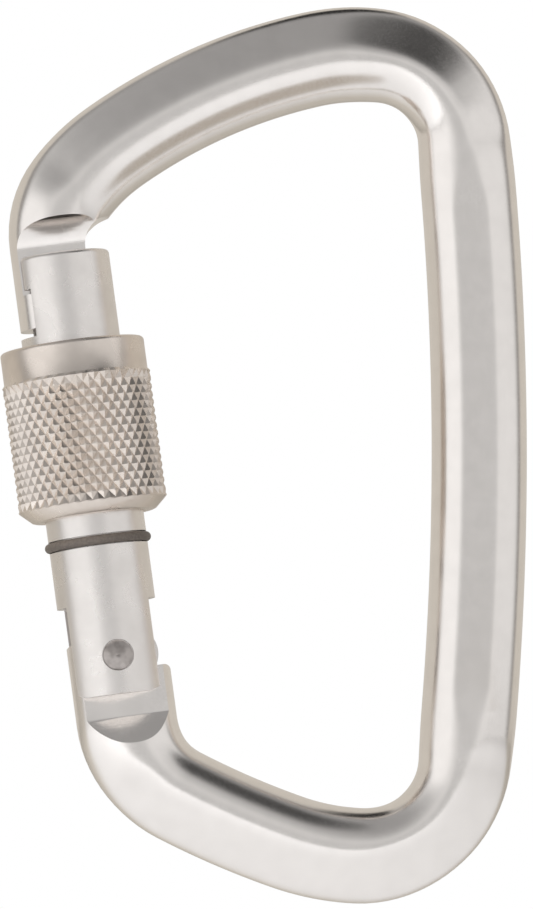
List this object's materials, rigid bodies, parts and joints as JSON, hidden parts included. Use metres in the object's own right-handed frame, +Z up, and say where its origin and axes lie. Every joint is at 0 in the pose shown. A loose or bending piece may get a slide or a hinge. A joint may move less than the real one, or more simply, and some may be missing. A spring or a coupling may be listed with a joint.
{
  "type": "locking carabiner",
  "caption": "Asymmetric D locking carabiner with a forged aluminium body, a sprung hinged gate and a knurled sleeve that screws up over the nose.",
  "frame": {"origin": "crown of the upper basket, the point on the inside of the bar where an anchor bears", "axes": "+Z up along the carabiner's long axis, +X from the gate towards the spine, +Y through its thickness"},
  "size_m": [0.0642, 0.0182, 0.1095],
  "materials": {
    "polished_aluminium": "polished",
    "satin_aluminium": "satin",
    "knurled_aluminium": "knurled satin",
    "stainless_rivet": "peened",
    "spring_steel": "drawn wire",
    "turned_steel": "turned",
    "ring_rubber": "matte"
  },
  "bodies": {
    "body": {"body": "polished_aluminium"},
    "gate": {"gate_barrel": "satin_aluminium", "hinge_rivet": "stainless_rivet"},
    "plunger": {"spring_plunger": "turned_steel", "gate_spring": "spring_steel"},
    "stop_ring": {"stop_ring": "ring_rubber"},
    "sleeve": {"locking_sleeve": "knurled_aluminium"}
  },
  "joints": [
    {"name": "gate_hinge", "type": "hinge", "parent": "body", "child": "gate", "pos_m": [-0.0296, 0, -0.06811], "axis": [0, 1, 0], "range_deg": [0, 24], "stiffness_Nm_per_rad": 0.48, "springref_deg": -36.1},
    {"name": "plunger_slide", "type": "slide", "parent": "gate", "child": "plunger", "axis": [-0.134, 0, 0.991], "range_m": [0, 0.0007], "deforming": ["gate_spring"]},
    {"name": "sleeve_turn", "type": "hinge", "parent": "gate", "child": "stop_ring", "pos_m": [-0.03263, 0, -0.04834], "axis": [-0.134, 0, 0.991], "range_deg": [-361, 1729]},
    {"name": "sleeve_travel", "type": "slide", "parent": "stop_ring", "child": "sleeve", "axis": [-0.134, 0, 0.991], "range_m": [-0.0025, 0.012]}
  ],
  "couplings": [
    {"joint": "plunger_slide", "follows": "gate_hinge", "m_per_rad": 0.0015536},
    {"joint": "sleeve_turn", "follows": "sleeve_travel", "rad_per_m": 2513.3}
  ]
}
